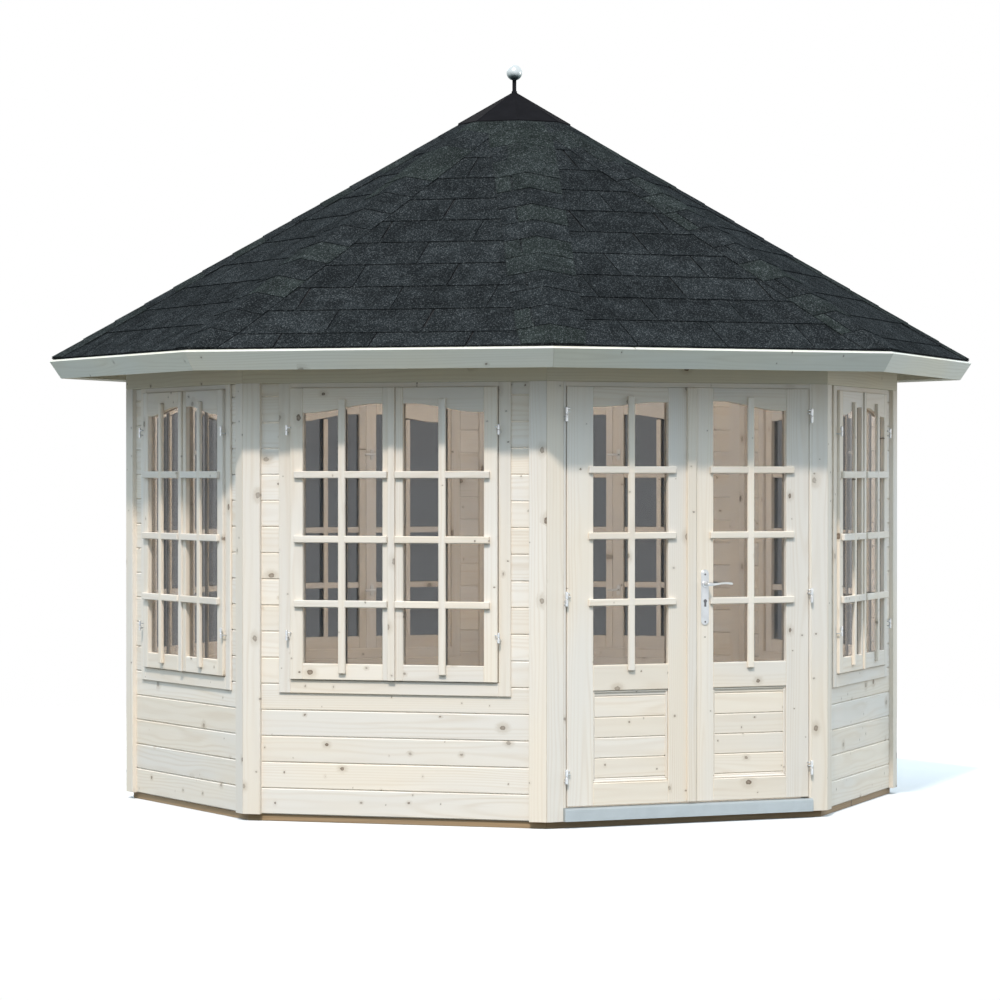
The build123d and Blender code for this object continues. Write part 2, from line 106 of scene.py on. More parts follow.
class Part:
    """Collects the boards of one piece; each has its own grain coordinates and tone."""

    def __init__(self, seed):
        self.verts = []
        self.faces = []
        self.grain = []
        self.tone = []
        self.smooth = []
        self.rng = random.Random(seed)

    def add(self, n, pts, faces, along="u", smooth=False, tone=None):
        """pts are (u, a, z) of wall n; along names the axis that the grain follows."""
        rng = self.rng
        base = len(self.verts)
        axis = {"u": 0, "a": 1, "z": 2}[along]
        side = [i for i in (0, 1, 2) if i != axis]
        span = [max(p[i] for p in pts) - min(p[i] for p in pts) for i in range(3)]
        mid = [(max(p[i] for p in pts) + min(p[i] for p in pts)) / 2 for i in range(3)]
        if span[side[0]] < span[side[1]]:
            side.reverse()
        shift = rng.uniform(0, 60)
        pith_y = rng.uniform(-0.05, 0.05)
        pith_z = rng.choice((-1, 1)) * rng.uniform(0.025, 0.11)
        value = rng.random() if tone is None else tone
        for p in pts:
            self.verts.append(world(n, *p))
            self.grain.append((
                p[axis] + shift,
                p[side[0]] - mid[side[0]] + pith_y,
                p[side[1]] - mid[side[1]] + pith_z,
            ))
            self.tone.append(value)
        for f in faces:
            self.faces.append([base + i for i in f])
            self.smooth.append(smooth)

    def board(self, n, u, a, z, along="u", c=0.0015, tone=None):
        """A box with narrow chamfers on all its edges; u, a and z are (low, high)."""
        pts = []
        index = {}
        lo_hi = (sorted(u), sorted(a), sorted(z))
        c = min([c] + [(h - l) * 0.45 for l, h in lo_hi])
        for corner in range(8):
            pick = [(corner >> i) & 1 for i in range(3)]
            for face_axis in range(3):
                p = []
                for i in range(3):
                    low, high = lo_hi[i]
                    if i == face_axis:
                        p.append(high if pick[i] else low)
                    else:
                        p.append(high - c if pick[i] else low + c)
                index[corner, face_axis] = len(pts)
                pts.append(tuple(p))
        faces = []
        for ax in range(3):
            b, d = [i for i in range(3) if i != ax]
            for bit in (0, 1):
                around = ((0, 0), (1, 0), (1, 1), (0, 1))
                faces.append([index[(bit << ax) | (x << b) | (y << d), ax] for x, y in around])
            for bb in (0, 1):
                for dd in (0, 1):
                    k0 = (bb << b) | (dd << d)
                    k1 = k0 | (1 << ax)
                    faces.append([index[k0, b], index[k1, b], index[k1, d], index[k0, d]])
        for corner in range(8):
            faces.append([index[corner, i] for i in range(3)])
        self.add(n, pts, faces, along, tone=tone)

    def plank(self, n, outline, a, along="u", c=0.002, tone=None):
        """A board of any outline (u, z), with chamfers on both faces."""
        a0, a1 = sorted(a)
        inner = inset(outline, c)
        rings = [(a0, inner), (a0 + c, outline), (a1 - c, outline), (a1, inner)]
        pts = [(p[0], ra, p[1]) for ra, ring in rings for p in ring]
        self.add(n, pts, skin(len(outline), 4), along, tone=tone)

    def hip_bar(self, n, section, gap=0.0004, tone=None):
        """A bar along wall n with (a, z) section, mitred at the two hips."""
        back = gap / HIP
        pts = [(-(a * T - back), a, z) for a, z in section]
        pts += [(a * T - back, a, z) for a, z in section]
        self.add(n, pts, skin(len(section)), "u", tone=tone)

    def turn(self, n, centre, axis, profile, segments=16):
        """A piece turned on an axis (a or z) through centre; profile is (radius, place) pairs."""
        u, v = centre
        pts = []
        for r, t in profile:
            for i in range(segments):
                g = 2 * math.pi * i / segments
                p, q = r * math.cos(g), r * math.sin(g)
                pts.append((u + p, v + q, t) if axis == "z" else (u + p, t, v + q))
        self.add(n, pts, skin(segments, len(profile)), "u", smooth=True)

    def sweep(self, n, stations, segments=14):
        """A grip along u: stations are (u, a, z, half depth, half height)."""
        pts = []
        for u, a, z, deep, high in stations:
            for i in range(segments):
                g = 2 * math.pi * i / segments
                pts.append((u, a + deep * math.cos(g), z + high * math.sin(g)))
        self.add(n, pts, skin(segments, len(stations)), "u", smooth=True)

    def make(self, name, body, material, replaced=()):
        """Builds the piece, rides it on its body and says which CAD nodes it stands for."""
        mesh = bpy.data.meshes.new(name)
        mesh.from_pydata(self.verts, [], self.faces)
        grain = mesh.attributes.new("grain", "FLOAT_VECTOR", "POINT")
        grain.data.foreach_set("vector", [x for g in self.grain for x in g])
        tone = mesh.attributes.new("tone", "FLOAT", "POINT")
        tone.data.foreach_set("value", self.tone)
        mesh.polygons.foreach_set("use_smooth", self.smooth)
        fix_normals(mesh)
        mesh.materials.append(material)
        obj = bpy.data.objects.new(name, mesh)
        bpy.context.scene.collection.objects.link(obj)
        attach(obj, body)
        if replaced:
            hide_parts(*replaced)
        return obj


def fix_normals(mesh):
    bm = bmesh.new()
    bm.from_mesh(mesh)
    bmesh.ops.recalc_face_normals(bm, faces=bm.faces)
    bm.to_mesh(mesh)
    bm.free()


def inset(outline, c):
    """The outline moved inwards by c."""
    k = len(outline)
    area = sum(
        outline[i][0] * outline[(i + 1) % k][1] - outline[(i + 1) % k][0] * outline[i][1]
        for i in range(k)
    )
    sign = 1 if area > 0 else -1
    moved = []
    for i in range(k):
        p = Vector(outline[i - 1])
        q = Vector(outline[i])
        r = Vector(outline[(i + 1) % k])
        d0 = (q - p).normalized()
        d1 = (r - q).normalized()
        n0 = Vector((-d0.y, d0.x)) * sign
        n1 = Vector((-d1.y, d1.x)) * sign
        m = n0 + n1
        m = m / max(m.dot(n0), 0.2)
        moved.append((q.x + m.x * c, q.y + m.y * c))
    return moved


# Materials
class Graph:
    """A short way to write a node tree."""

    def __init__(self, tree):
        self.tree = tree
        tree.nodes.clear()

    def put(self, socket, value):
        if isinstance(value, bpy.types.NodeSocket):
            self.tree.links.new(value, socket)
        elif isinstance(value, tuple) and len(value) == 3 and socket.type == "RGBA":
            socket.default_value = (*value, 1)
        else:
            socket.default_value = value

    def node(self, kind, settings=None, **inputs):
        node = self.tree.nodes.new("ShaderNode" + kind)
        for key, value in (settings or {}).items():
            setattr(node, key, value)
        for key, value in inputs.items():
            name = key.replace("_", " ")
            by_place = key[0] == "i" and key[1:].isdigit()
            self.put(node.inputs[int(key[1:]) if by_place else name], value)
        return node

    def math(self, op, a, b=0.0, c=0.0, clamp=False):
        node = self.node("Math", {"operation": op, "use_clamp": clamp}, i0=a, i1=b)
        if op in ("MULTIPLY_ADD", "SMOOTH_MIN", "COMPARE", "WRAP"):
            self.put(node.inputs[2], c)
        return node.outputs[0]

    def vec(self, op, a, b):
        node = self.node("VectorMath", {"operation": op}, i0=a)
        self.put(node.inputs[1], b)
        return node.outputs[0]

    def noise(self, vector, scale, detail=3.0, rough=0.55, distort=0.0):
        node = self.node(
            "TexNoise", Vector=vector, Scale=scale, Detail=detail, Roughness=rough,
            Distortion=distort,
        )
        return node.outputs[0]

    def step(self, value, low, high, to_low=0.0, to_high=1.0):
        node = self.node("MapRange", {"interpolation_type": "SMOOTHSTEP"}, Value=value)
        for socket, v in zip(node.inputs[1:5], (low, high, to_low, to_high)):
            self.put(socket, v)
        return node.outputs[0]

    def mix(self, fac, a, b, blend="MIX"):
        node = self.tree.nodes.new("ShaderNodeMix")
        node.data_type = "RGBA"
        node.blend_type = blend
        self.put(node.inputs[0], fac)
        self.put(node.inputs[6], a)
        self.put(node.inputs[7], b)
        return node.outputs[2]

    def attr(self, name, kind="vector"):
        node = self.node("Attribute", {"attribute_name": name})
        return node.outputs[1 if kind == "vector" else 2]

    def shown_ray(self):
        """1 for the rays that show a background: camera, glossy and transmission rays."""
        rays = self.node("LightPath").outputs
        value = self.math("MAXIMUM", rays["Is Camera Ray"], rays["Is Glossy Ray"])
        return self.math("MAXIMUM", value, rays["Is Transmission Ray"])


class Net(Graph):
    """The node tree of a material with one Principled shader."""

    def __init__(self, name):
        self.mat = bpy.data.materials.new(name)
        self.mat.use_nodes = True
        super().__init__(self.mat.node_tree)
        self.shader = self.node("BsdfPrincipled")
        self.node("OutputMaterial", i0=self.shader.outputs[0])

    def bump(self, height, strength, distance):
        node = self.node("Bump", Height=height, Strength=strength, Distance=distance)
        self.put(self.shader.inputs["Normal"], node.outputs[0])

    def set(self, **inputs):
        for key, value in inputs.items():
            self.put(self.shader.inputs[key.replace("_", " ")], value)


def wood(name, light, late, knot, knots=1.0, rough=0.62):
    """Planed softwood along the board's own grain: early and late wood, rings and knots."""
    net = Net(name)
    pos = net.attr("grain")
    tone = net.attr("tone", "value")
    part = net.node("SeparateXYZ", Vector=pos)
    x, y, z = part.outputs[0], part.outputs[1], part.outputs[2]

    def knot_layer(scale, share, small, spread, squeeze):
        """Scattered knots in the plane of the board's face: their cores and halos."""
        flat = net.node("CombineXYZ", X=net.math("MULTIPLY", x, squeeze), Y=y, Z=0.0).outputs[0]
        cells = net.node(
            "TexVoronoi", {"voronoi_dimensions": "2D"}, Vector=flat, Scale=scale, Randomness=1.0,
        )
        near = net.math("DIVIDE", cells.outputs["Distance"], scale)
        pick = net.node("SeparateColor", Color=cells.outputs["Color"])
        there = net.math("LESS_THAN", pick.outputs[0], share * knots)
        size = net.math("MULTIPLY_ADD", pick.outputs[1], spread, small)
        ragged = net.math("MULTIPLY_ADD", net.noise(pos, 110.0, 2.5), 0.010, -0.005)
        dist = net.math("ADD", near, ragged)
        core = net.math("MULTIPLY", net.step(dist, net.math("MULTIPLY", size, 1.3), size), there)
        halo = net.math("MULTIPLY", net.step(dist, net.math("MULTIPLY", size, 4.5), size), there)
        middle = net.step(dist, 0.0, net.math("MULTIPLY", size, 1.1), 0.70, 1.0)
        strength = net.math("MULTIPLY_ADD", pick.outputs[2], 0.50, 0.44)
        strength = net.math("MULTIPLY", strength, middle)
        return net.math("MULTIPLY", core, strength), halo

    core_a, halo_a = knot_layer(6.2, 0.38, 0.0028, 0.0064, 0.75)
    core_b, halo_b = knot_layer(12.0, 0.10, 0.0018, 0.0028, 1.3)
    core = net.math("MAXIMUM", core_a, core_b)
    halo = net.math("MAXIMUM", halo_a, net.math("MULTIPLY", halo_b, 0.5))
    # growth rings round a pith that lies beside the board, bent round the knots
    slow = net.noise(net.vec("MULTIPLY", pos, (0.9, 5.0, 5.0)), 1.0, 2.0)
    far = net.math("SQRT", net.math("ADD", net.math("POWER", y, 2.0), net.math("POWER", z, 2.0)))
    bent = net.math("MULTIPLY_ADD", slow, 0.055, far)
    bent = net.math("MULTIPLY_ADD", halo_a, -0.007, bent)
    wave = net.math("SINE", net.math("MULTIPLY", bent, 2 * math.pi / 0.0105))
    wave = net.math("POWER", net.math("MULTIPLY_ADD", wave, 0.5, 0.5), 2.4)
    fibre = net.noise(net.vec("MULTIPLY", pos, (8.0, 300.0, 300.0)), 1.0, 4.0, 0.6)
    streak = net.noise(net.vec("MULTIPLY", pos, (1.6, 42.0, 42.0)), 1.0, 3.0, 0.55)
    broad = net.noise(net.vec("MULTIPLY", pos, (1.2, 13.0, 13.0)), 1.0, 3.0)
    amount = net.math("MULTIPLY_ADD", wave, 0.36, net.math("MULTIPLY_ADD", fibre, 0.30, -0.10))
    amount = net.math("MULTIPLY_ADD", net.step(streak, 0.52, 0.78), 0.30, amount)
    amount = net.math("MULTIPLY", amount, net.step(broad, 0.30, 0.72, 0.20, 1.15), clamp=True)
    colour = net.mix(amount, light, late)
    colour = net.mix(net.math("MULTIPLY", halo, 0.50), colour, tuple(c * 0.80 for c in late))
    colour = net.mix(core, colour, knot)
    shade = net.math("MULTIPLY_ADD", tone, 0.10, 0.93)
    shade = net.math("MULTIPLY", shade, net.step(broad, 0.2, 0.8, 0.965, 1.02))
    grey = net.node("CombineColor", Red=shade, Green=shade, Blue=shade).outputs[0]
    colour = net.mix(1.0, colour, grey, "MULTIPLY")
    hue = net.step(net.noise(net.vec("MULTIPLY", pos, (0.8, 3.0, 3.0)), 1.0, 2.0), 0.35, 0.65)
    hue = net.mix(hue, (1.025, 1.0, 0.965), (0.985, 1.0, 1.03))
    colour = net.mix(1.0, colour, hue, "MULTIPLY")
    net.set(Base_Color=colour, Roughness=net.math("MULTIPLY_ADD", fibre, 0.2, rough - 0.1))
    net.set(Specular_IOR_Level=0.25)
    height = net.math("ADD", net.math("MULTIPLY", wave, 0.35), net.math("MULTIPLY", fibre, 0.8))
    height = net.math("SUBTRACT", height, net.math("MULTIPLY", core, 0.4))
    net.bump(height, 0.35, 0.0006)
    return net.mat


SPRUCE = ((0.868, 0.803, 0.717), (0.695, 0.584, 0.458), (0.140, 0.092, 0.058))
wood_boards = wood("spruce_boards", *SPRUCE)
FRAME_WOOD = ((0.848, 0.779, 0.690), (0.710, 0.604, 0.486), SPRUCE[2])
FASCIA_WOOD = ((0.800, 0.785, 0.690), (0.650, 0.620, 0.515), SPRUCE[2])
# the beam's wood is darker and greener than the boards: painted shade for the beam under the eaves
SHADED_BEAM_TONES = ((0.700, 0.645, 0.510), (0.560, 0.470, 0.345), SPRUCE[2])
TREATED_WOOD = ((0.420, 0.290, 0.170), (0.235, 0.150, 0.085), (0.05, 0.03, 0.02))
wood_frames = wood("spruce_frames", *FRAME_WOOD, knots=1.1)
wood_fascia = wood("fascia_wood", *FASCIA_WOOD, knots=0.8)
shaded_beam_material = wood("beam_with_painted_shade", *SHADED_BEAM_TONES, knots=0.8)
wood_base = wood("treated_timber", *TREATED_WOOD)


def metal(name, colour, rough, metallic=1.0, scale=60.0, gloss=0.5, wear=0.82):
    """Brushed or painted metal with worn spots."""
    net = Net(name)
    pos = net.node("TexCoord").outputs["Object"]
    grain = net.noise(net.vec("MULTIPLY", pos, (1.0, 1.0, 5.0)), scale, 4.0)
    spots = net.noise(pos, 14.0, 3.0)
    dark = tuple(c * wear for c in colour)
    net.set(Base_Color=net.mix(net.step(spots, 0.35, 0.7), colour, dark), Metallic=metallic)
    net.set(Roughness=net.math("MULTIPLY_ADD", grain, 0.22, rough - 0.11))
    net.set(Specular_IOR_Level=gloss)
    net.bump(grain, 0.15, 0.0003)
    return net.mat


steel = metal("bright_steel", (0.70, 0.72, 0.74), 0.36, 0.75)
# dark steel for the screw heads; on the keyway the same dark colour is painted shade for the hole
dark_screw_steel_keyway_shade = metal("dark_screw_steel_keyway_shade", (0.16, 0.16, 0.17), 0.45, 0.8)
catch_metal = metal("catch_metal", (0.93, 0.93, 0.92), 0.40, 0.0)
black_rod = metal("black_rod", (0.010, 0.010, 0.012), 0.7, 0.0, 60.0, 0.05)
threshold_paint = metal("threshold_metal", (0.46, 0.51, 0.535), 0.45, 0.55, 30.0, wear=0.94)
cap_sheet = metal("cap_sheet", (0.0108, 0.0104, 0.0120), 0.85, 0.0, 25.0, 0.02)


def granules(name):
    """Mineral granules on bitumen: dark grains, pale chips, a worn and a mossy share."""
    net = Net(name)
    pos = net.attr("grain")
    tone = net.attr("tone", "value")
    fine = net.noise(pos, 190.0, 3.0, 0.75)
    coarse = net.noise(pos, 9.0, 4.0, 0.6)
    cells = net.node("TexVoronoi", {"voronoi_dimensions": "3D"}, Vector=pos, Scale=260.0)
    pick = net.node("SeparateColor", Color=cells.outputs["Color"])
    chips = net.step(pick.outputs[0], 0.80, 0.95)
    colour = net.mix(net.step(fine, 0.36, 0.72), (0.0093, 0.0109, 0.0119), (0.0362, 0.0402, 0.0414))
    mossy = net.mix(net.step(fine, 0.36, 0.72), (0.0096, 0.0120, 0.0113), (0.0370, 0.0440, 0.0402))
    colour = net.mix(net.step(tone, 0.70, 1.0), colour, mossy)
    chip = net.mix(pick.outputs[1], (0.085, 0.092, 0.095), (0.17, 0.18, 0.18))
    colour = net.mix(net.math("MULTIPLY", chips, 0.55), colour, chip)
    worn = net.step(coarse, 0.30, 0.72, 0.74, 1.30)
    each = net.math("MULTIPLY", worn, net.math("MULTIPLY_ADD", tone, 0.28, 0.73))
    grey = net.node("CombineColor", Red=each, Green=each, Blue=each).outputs[0]
    net.set(Base_Color=net.mix(1.0, colour, grey, "MULTIPLY"))
    net.set(Roughness=net.step(fine, 0.2, 0.9, 0.80, 0.98), Specular_IOR_Level=0.0)
    net.bump(net.math("ADD", fine, net.math("MULTIPLY", chips, 0.6)), 0.7, 0.0012)
    return net.mat


shingle = granules("shingle_granules")


def felt_with_slot_shade(name):
    net = Net(name)
    pos = net.node("TexCoord").outputs["Object"]
    fine = net.noise(pos, 90.0, 3.0)
    # near-black felt: partly the bitumen's own colour, partly painted shade in the slots between
    # the shingle tabs
    net.set(Base_Color=net.mix(fine, (0.006, 0.006, 0.007), (0.016, 0.017, 0.018)), Roughness=0.9)
    net.bump(fine, 0.4, 0.001)
    return net.mat


underlay = felt_with_slot_shade("felt_with_painted_slot_shade")


def planks(name, width):
    """Floor boards seen through the glass: long boards along Y with dark joints."""
    net = Net(name)
    pos = net.node("TexCoord").outputs["Object"]
    part = net.node("SeparateXYZ", Vector=pos)
    place = net.math("DIVIDE", part.outputs[0], width)
    board = net.math("FLOOR", place)
    inside = net.math("ABSOLUTE", net.math("SUBTRACT", net.math("FRACT", place), 0.5))
    joint = net.step(inside, 0.475, 0.492)
    tone = net.node("TexWhiteNoise", {"noise_dimensions": "1D"}, W=board).outputs[0]
    grain = net.noise(net.vec("MULTIPLY", pos, (120.0, 3.0, 3.0)), 1.0, 4.0)
    colour = net.mix(grain, (0.66, 0.56, 0.42), (0.46, 0.36, 0.24))
    colour = net.mix(net.math("MULTIPLY", tone, 0.35), colour, (0.40, 0.30, 0.20))
    colour = net.mix(joint, colour, (0.06, 0.04, 0.025))
    net.set(Base_Color=colour, Roughness=net.math("MULTIPLY_ADD", grain, 0.2, 0.5))
    net.bump(net.math("SUBTRACT", grain, joint), 0.4, 0.001)
    return net.mat


floor_wood = planks("floor_planks", 0.12)


def shade_darkened_glazing(name):
    """Half-clear glass with a near-black bluish base, painted shade for the dim room seen through
    it, and a faint film.
    """
    net = Net(name)
    pos = net.node("TexCoord").outputs["Object"]
    film = net.noise(pos, 2.3, 2.0)
    # the near-black base colour at alpha 0.44 is painted shade that darkens whatever shows through
    # the pane
    net.set(Base_Color=net.mix(film, (0.006, 0.011, 0.016), (0.012, 0.018, 0.024)), Alpha=0.44)
    net.set(Roughness=net.step(film, 0.3, 0.8, 0.01, 0.06), Specular_IOR_Level=0.26)
    return net.mat


glass = shade_darkened_glazing("window_glass")


def dress(nodes, material):
    """Gives a shown CAD node a material of the scene."""
    for name in nodes:
        obj = frame["nodes"][name]
        for slot in obj.material_slots:
            slot.material = material
        if not obj.material_slots:
            obj.data.materials.append(material)


dress(["window_glass", "door_glass_left", "door_glass_right"], glass)
dress(["door_threshold"], threshold_paint)
dress(["floor_boards"], floor_wood)

# Walls with windows
ROW, JOINT = 0.114, 0.0004
HOLE_U, HOLE_Z = 0.512, BASE + 0.552


def wall_boards(place, n):
    """Level rows of boards, cut out round the window."""
    part = Part(100 + n)
    end = POST_EDGE + 0.010
    face = (WALL_BACK, WALL_FACE)
    z = BASE
    while z < POST_TOP - 0.01:
        top = min(z + ROW, POST_TOP)
        low, high = z + JOINT, top - JOINT
        if top <= HOLE_Z + 0.001:
            part.plank(n, box_outline((-end, end), (low, high)), face, c=0.0045)
        elif z < HOLE_Z:
            outline = [(-end, low), (end, low), (end, high), (HOLE_U, high)]
            outline += [(HOLE_U, HOLE_Z), (-HOLE_U, HOLE_Z), (-HOLE_U, high), (-end, high)]
            part.plank(n, outline, face, c=0.0045)
        else:
            tone = part.rng.random()
            for side in (-1, 1):
                u = sorted((side * HOLE_U, side * end))
                part.plank(n, box_outline(u, (low, high)), face, c=0.0045, tone=tone)
        z = top
    part.make(f"boards_{place}", "house", wood_boards, [f"wall_{place}"])


def neck(u_out, u_in, z_low, z_high, steps=12):
    """The swan neck from the outer end of the arch to its inner end."""
    start = u_out + (u_in - u_out) * 0.06
    stop = u_out + (u_in - u_out) * 0.92
    pts = []
    for i in range(steps + 1):
        t = i / steps
        rise = 3 * t * t - 2 * t ** 3
        pts.append((start + (stop - start) * t, z_low + (z_high - z_low) * rise))
    return pts


def light(part, n, u_hinge, u_free, panes, z, rails, arch):
    """The wood round one arched pane: two stiles, the level rails and an arched top rail."""
    a = (SASH_BACK, SASH_FACE)
    part.board(n, (u_hinge, panes[0]), a, z, "z", 0.0025)
    part.board(n, (panes[1], u_free), a, z, "z", 0.0025)
    for rail in rails:
        part.board(n, panes, a, rail, "u", 0.0025)
    outline = [(panes[0], z[1]), (panes[0], arch[0])] + neck(*panes, *arch)
    outline += [(panes[1], arch[1]), (panes[1], z[1])]
    part.plank(n, outline, a, "u", 0.0025)


CASING_OUT, CASING_IN, STOP_IN = 0.532, 0.478, 0.466
SILL_Z = (BASE + 0.532, BASE + 0.589)
SASH_Z = (BASE + 0.592, BASE + 1.8595)
SASH_U, PANE_OUT, PANE_IN, PANE_MID = 0.475, 0.415, 0.047, 0.230
MEET_LEFT, MEET_RIGHT = 0.0106, 0.0114
PANE_Z = BASE + 0.662
PANE_BACK = 1.6647
ARCH = (BASE + 1.750, BASE + 1.789)
BAR_LEVELS = (0.922, 1.202, 1.482)


def casing(place, n):
    """Casing boards on the wall, the lining of the hole, and the stops behind the sashes."""
    part = Part(200 + n)
    top = POST_TOP - 0.0003
    lining_z = HOLE_Z + 0.0003
    face = (WALL_FACE + 0.0003, CASING_FACE)
    stop = (FRAME_BACK, 1.6467)
    for side in (-1, 1):
        part.board(n, (side * CASING_IN, side * CASING_OUT), face, (SILL_Z[0], top), "z", 0.002)
        lining = (side * CASING_IN, side * 0.5117)
        part.board(n, lining, (FRAME_BACK, WALL_FACE), (lining_z, top), "z")
        part.board(n, (side * STOP_IN, side * CASING_IN), stop, (SILL_Z[1], top - 0.021), "z")
    wide, narrow = (-CASING_IN, CASING_IN), (-STOP_IN, STOP_IN)
    part.board(n, wide, face, SILL_Z, "u", 0.002)
    part.board(n, wide, (FRAME_BACK, WALL_FACE), (lining_z, SILL_Z[1]), "u")
    part.board(n, narrow, stop, (SILL_Z[1], SILL_Z[1] + 0.012), "u")
    part.board(n, wide, (FRAME_BACK, CASING_FACE), (top - 0.0207, top), "u")
    part.board(n, narrow, stop, (top - 0.0327, top - 0.0207), "u")
    part.make(f"casing_{place}", "house", wood_frames, [f"window_frame_{place}"])


def sashes(place, n):
    part = Part(300 + n)
    rail = [(SASH_Z[0], PANE_Z)]
    light(part, n, -SASH_U, MEET_LEFT, (-PANE_OUT, -PANE_IN), SASH_Z, rail, ARCH)
    light(part, n, SASH_U, MEET_RIGHT, (PANE_OUT, PANE_IN), SASH_Z, rail, ARCH)
    strip = (SASH_FACE - 0.001, SASH_FACE + 0.008)
    part.board(n, (-0.0204, MEET_LEFT), strip, SASH_Z, "z", 0.002)
    part.make(f"sashes_{place}", "house", wood_frames, [f"window_sashes_{place}"])


def lattice(place, n):
    """Bars on the outside of the sashes, and a slimmer lattice inside the panes."""
    part = Part(400 + n)
    for u in (-PANE_MID, PANE_MID):
        upright = (BASE + 0.620, BASE + 1.810)
        part.board(n, (u - 0.016, u + 0.016), (SASH_FACE, SASH_FACE + 0.0165), upright, "z", 0.003)
    for z in BAR_LEVELS:
        level = (BASE + z - 0.0155, BASE + z + 0.0155)
        for u in ((-0.452, -0.023), (0.013, 0.444)):
            part.board(n, u, (SASH_FACE, SASH_FACE + 0.0160), level, "u", 0.003)
    inner = (PANE_BACK - 0.0100, PANE_BACK)
    for side in (-1, 1):
        mid = side * PANE_MID
        part.board(n, (mid - 0.012, mid + 0.012), inner, (PANE_Z, BASE + 1.764), "z", 0.002)
        for z in BAR_LEVELS:
            level = (BASE + z - 0.0145, BASE + z + 0.0145)
            across = (side * (PANE_IN + 0.0002), side * (PANE_OUT - 0.0002))
            part.board(n, across, (inner[0] + 0.0005, inner[1]), level, "u", 0.002)
    part.make(f"bars_{place}", "house", wood_frames)


for place, n in WINDOWS.items():
    wall_boards(place, n)
    casing(place, n)
    sashes(place, n)
    lattice(place, n)

# Posts
posts = Part(11)
for n in range(8):
    # one wing of the post on each of its two walls, meeting at the arris
    for wall, side in ((n, 1), (n + 1, -1)):
        tone = 0.25 + 0.5 * ((n * 37) % 10) / 10
        arris = POST_FACE - 0.004
        plan = [
            (POST_EDGE, POST_FACE - 0.002), (POST_EDGE + 0.002, POST_FACE),
            (POST_FACE * T - 0.001, POST_FACE), (arris * T, arris),
            (POST_BACK * T, POST_BACK), (POST_EDGE, POST_BACK),
        ]
        pts = [(side * u, a, z) for z in (BASE, POST_TOP) for u, a in plan]
        posts.add(wall, pts, skin(len(plan)), "z", tone=tone)
posts.make("posts", "house", wood_frames, ["corner_posts"])

# Foundation, ring beam, eaves
BEAM_IN, BEAM_OUT = 1.592, 1.652
base_part = Part(12)
for n in range(8):
    c = 0.002
    base_part.hip_bar(n, [
        (BEAM_IN, 0.0), (BEAM_OUT - c, 0.0), (BEAM_OUT, c),
        (BEAM_OUT, BASE - c), (BEAM_OUT - c, BASE), (BEAM_IN, BASE),
    ])
for i in range(-2, 3):
    # beams under the floor, cut to the octagon inside the outer ring
    x = i * WALL_FACE / 3
    reach = BEAM_IN - 0.0003
    side_len = reach * T
    half = reach if abs(x) + 0.025 < side_len else reach + side_len - abs(x) - 0.025
    base_part.board(0, (x - 0.025, x + 0.025), (-half, half), (0.0, 0.060), "a")
base_part.make("foundation", "house", wood_base, ["foundation_beams"])

PLATE_TOP = POST_TOP + ROOF_RISE - DECK_THICK / ROOF_COS - FASCIA_DEEP - 0.003
ring = Part(13)
for n in range(8):
    c = 0.003
    ring.hip_bar(n, [
        (WALL_BACK, POST_TOP), (POST_FACE - c, POST_TOP), (POST_FACE, POST_TOP + c),
        (POST_FACE, PLATE_TOP - c), (POST_FACE - c, PLATE_TOP), (WALL_BACK, PLATE_TOP),
    ])
    # the board that closes the eaves between the rafters
    under = DECK_THICK / ROOF_COS + 0.0004
    back, front = 1.640, 1.668
    ring.hip_bar(n, [
        (back, PLATE_TOP + 0.0003), (front, PLATE_TOP + 0.0003),
        (front, deck(front) - under), (back, deck(back) - under),
    ], gap=0.0228)
# the beam's darker wood colour is painted shade under the eaves
ring.make("ring_beam", "house", shaded_beam_material, ["eaves_beams"])


def off_slope(along, rise):
    """(a, z) of a point along the slope from the eave edge, and rise square to it."""
    return (
        EAVE_A + ROOF_COS * along + math.sin(PITCH) * rise,
        EAVE_Z - math.sin(PITCH) * along + ROOF_COS * rise,
    )


fascia = Part(14)
for n in range(8):
    c = 0.0015
    fascia.hip_bar(n, [
        off_slope(0, -c), off_slope(-c, 0), off_slope(-DECK_THICK, 0),
        off_slope(-DECK_THICK, -FASCIA_DEEP), off_slope(-0.002, -FASCIA_DEEP), off_slope(0, -0.093),
    ])
fascia.make("fascia", "house", wood_fascia, ["fascia_boards"])

DECK_ROWS, DECK_START = 25, 0.0183
sheath = Part(15)
for n in range(8):
    wide = ((EAVE_A - 0.014) / ROOF_COS - DECK_START) / DECK_ROWS
    for i in range(DECK_ROWS):
        s0 = DECK_START + i * wide + 0.0003
        s1 = DECK_START + (i + 1) * wide - 0.0003
        v = 0.003
        sheath.hip_bar(n, [
            off_slope(-s0, 0), off_slope(-s1, 0), off_slope(-s1, -DECK_THICK + v),
            off_slope(-s1 + v, -DECK_THICK), off_slope(-s0 - v, -DECK_THICK),
            off_slope(-s0, -DECK_THICK + v),
        ])
sheath.make("roof_sheathing", "house", wood_boards, ["roof_boards"])


def hip_point(n, t, w, z):
    """A point at distance t from the axis on the hip right of wall n, w to its left.

    It is given as (u, a, z) of wall 0, whose axes are those of the world with -Y outwards.
    """
    g = (n + 0.5) * math.pi / 4
    return (t * math.sin(g) - w * math.cos(g), t * math.cos(g) + w * math.sin(g), z)


